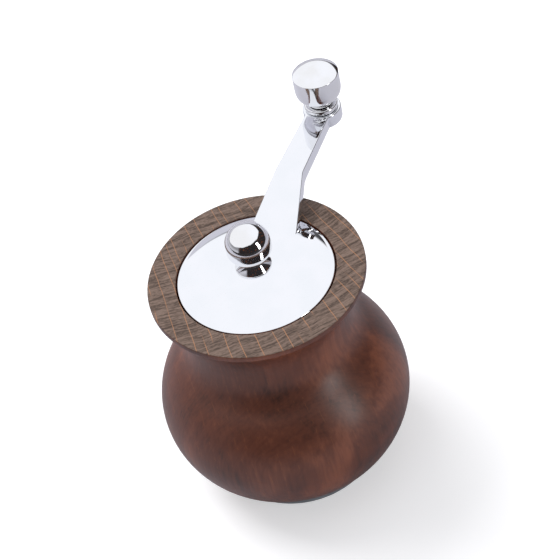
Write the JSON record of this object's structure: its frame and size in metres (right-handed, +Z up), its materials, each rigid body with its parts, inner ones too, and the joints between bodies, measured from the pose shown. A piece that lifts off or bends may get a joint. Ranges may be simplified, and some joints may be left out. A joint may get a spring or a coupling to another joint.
{
  "type": "salt mill",
  "caption": "Hand cranked salt mill: turned wooden body with a wide collar, chromed domed crank with its knob, ball adjusting knob and ceramic burrs.",
  "frame": {"origin": "on the plane that the mill stands on, under the middle of the space that mill and crank take up; the mill's own axis stands at x = -0.01595, y = 0", "axes": "+Z up along the mill's axis, +X along the crank at rest, from the axis out to the crank's knob"},
  "size_m": [0.1134, 0.0816, 0.1082],
  "materials": {
    "stained_beech": "dark stained beech, satin varnish",
    "polished_chrome": "polished chrome plating",
    "stainless_steel": "stainless steel, as turned or drawn",
    "grey_plastic": "grey moulded plastic",
    "black_nylon": "black moulded nylon",
    "white_ceramic": "sintered ceramic",
    "brass": "turned brass"
  },
  "bodies": {
    "mill_body": {"wooden_body": "stained_beech", "foot_carrier": "grey_plastic", "foot_screw_1": "stainless_steel", "foot_screw_2": "stainless_steel", "foot_screw_3": "stainless_steel", "stator_burr": "white_ceramic", "guide_spider": "black_nylon", "bridge_plate": "stainless_steel", "bridge_screw_1": "stainless_steel", "bridge_screw_2": "stainless_steel", "bridge_screw_3": "stainless_steel", "spring": "stainless_steel"},
    "bush": {"drive_bush": "black_nylon"},
    "crank": {"crank_casting": "polished_chrome", "drive_hub": "stainless_steel", "knob_pin": "stainless_steel", "knob_snap_ring": "stainless_steel", "knob_washer": "polished_chrome"},
    "crank_knob": {"crank_knob": "polished_chrome"},
    "adjuster": {"adjusting_knob": "polished_chrome", "knob_insert": "brass"},
    "thrust": {"thrust_washer": "stainless_steel"},
    "drive": {"drive_shaft": "stainless_steel", "spring_clip": "stainless_steel", "rotor_burr": "white_ceramic", "rotor_clip": "stainless_steel", "rotor_washer": "stainless_steel", "rotor_nut": "stainless_steel"}
  },
  "joints": [
    {"name": "crank_spin", "type": "hinge", "parent": "mill_body", "child": "bush", "pos_m": [-0.01595, 0, 0.078], "axis": [0, 0, 1], "continuous": true},
    {"name": "crank_lift", "type": "slide", "parent": "bush", "child": "crank", "axis": [0, 0, 1], "range_m": [0, 0.045]},
    {"name": "grind_adjust", "type": "hinge", "parent": "crank", "child": "adjuster", "pos_m": [-0.01595, 0, 0.086], "axis": [0, 0, 1], "range_deg": [-450, 450]},
    {"name": "crank_knob_spin", "type": "hinge", "parent": "crank", "child": "crank_knob", "pos_m": [0.04925, 0, 0.0959], "axis": [0, 0, 1], "continuous": true},
    {"name": "grind_gap", "type": "slide", "parent": "mill_body", "child": "thrust", "axis": [0, 0, 1], "range_m": [-0.00065, 0.00065], "deforming": ["spring"]},
    {"name": "drive_spin", "type": "hinge", "parent": "thrust", "child": "drive", "pos_m": [-0.01595, 0, 0.054], "axis": [0, 0, 1], "continuous": true}
  ],
  "couplings": [
    {"joint": "grind_gap", "follows": "grind_adjust", "m_per_rad": -0.000079577},
    {"joint": "drive_spin", "follows": "crank_spin", "ratio": 1}
  ]
}
